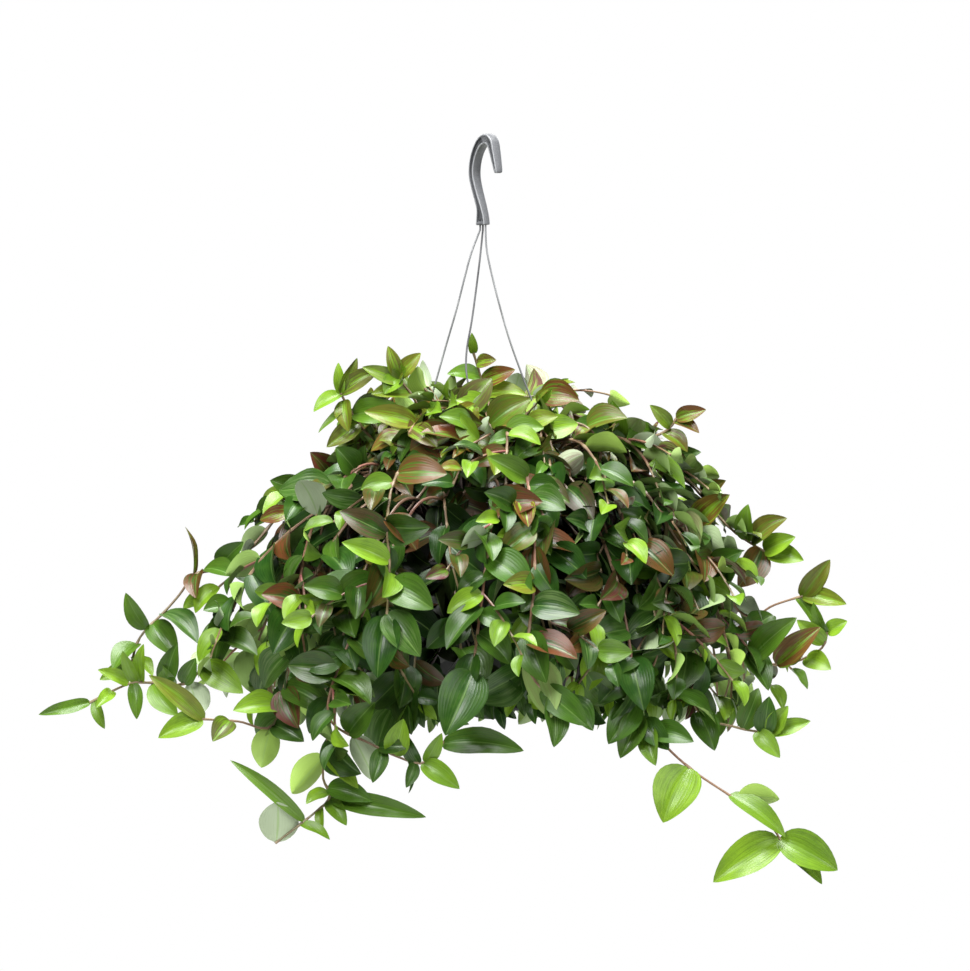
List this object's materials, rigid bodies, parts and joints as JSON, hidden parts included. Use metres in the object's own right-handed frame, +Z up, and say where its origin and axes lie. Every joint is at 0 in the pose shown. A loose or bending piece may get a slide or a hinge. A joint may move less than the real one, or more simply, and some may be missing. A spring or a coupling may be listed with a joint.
{
  "type": "hanging potted tradescantia",
  "caption": "Trailing spiderwort in a round dark plastic pot that hangs from thin bowed wires and a plastic hook.",
  "frame": {"origin": "inner top of the hook's throat, where the part bears on what it hangs from", "axes": "+Z up along the load; the pot's axis is the Z axis; the front of the plant faces -Y and +X is to its right"},
  "size_m": [0.684, 0.4931, 0.6344],
  "materials": {
    "hook_plastic": "satin",
    "wire_metal": "satin",
    "pot_plastic": "satin",
    "potting_soil": "matte",
    "leafy_stem": "satin"
  },
  "bodies": {
    "root": {"hook": "hook_plastic", "pot": "pot_plastic", "soil": "potting_soil", "stem_apron_08": "leafy_stem", "stem_apron_12": "leafy_stem", "stem_apron_16": "leafy_stem", "stem_apron_35": "leafy_stem", "stem_bottom_left": "leafy_stem", "stem_bottom_middle": "leafy_stem", "stem_bottom_right": "leafy_stem", "stem_cap_02": "leafy_stem", "stem_cap_23": "leafy_stem", "stem_cap_26": "leafy_stem", "stem_cap_30": "leafy_stem", "stem_cap_32": "leafy_stem", "stem_crown_06": "leafy_stem", "stem_crown_10": "leafy_stem", "stem_crown_14": "leafy_stem", "stem_crown_18": "leafy_stem", "stem_crown_21": "leafy_stem", "stem_crown_left": "leafy_stem", "stem_far_right": "leafy_stem", "stem_front_far_left": "leafy_stem", "stem_front_left": "leafy_stem", "stem_front_middle": "leafy_stem", "stem_front_right": "leafy_stem", "stem_left_front": "leafy_stem", "stem_left_low": "leafy_stem", "stem_left_upper": "leafy_stem", "stem_right_low": "leafy_stem", "stem_right_side": "leafy_stem", "stem_right_upper": "leafy_stem", "stem_shoulder_01": "leafy_stem", "stem_shoulder_04": "leafy_stem", "stem_shoulder_19": "leafy_stem", "stem_shoulder_24": "leafy_stem", "stem_shoulder_27": "leafy_stem", "stem_shoulder_31": "leafy_stem", "stem_shoulder_33": "leafy_stem", "stem_shoulder_34": "leafy_stem", "stem_skirt_03": "leafy_stem", "stem_skirt_05": "leafy_stem", "stem_skirt_07": "leafy_stem", "stem_skirt_09": "leafy_stem", "stem_skirt_11": "leafy_stem", "stem_skirt_13": "leafy_stem", "stem_skirt_15": "leafy_stem", "stem_skirt_17": "leafy_stem", "stem_skirt_20": "leafy_stem", "stem_skirt_22": "leafy_stem", "stem_skirt_25": "leafy_stem", "stem_skirt_28": "leafy_stem", "stem_skirt_29": "leafy_stem", "stem_top_far_left": "leafy_stem", "stem_top_left": "leafy_stem", "stem_top_middle": "leafy_stem", "stem_top_right": "leafy_stem", "wire_1": "wire_metal", "wire_2": "wire_metal", "wire_3": "wire_metal"}
  },
  "joints": []
}
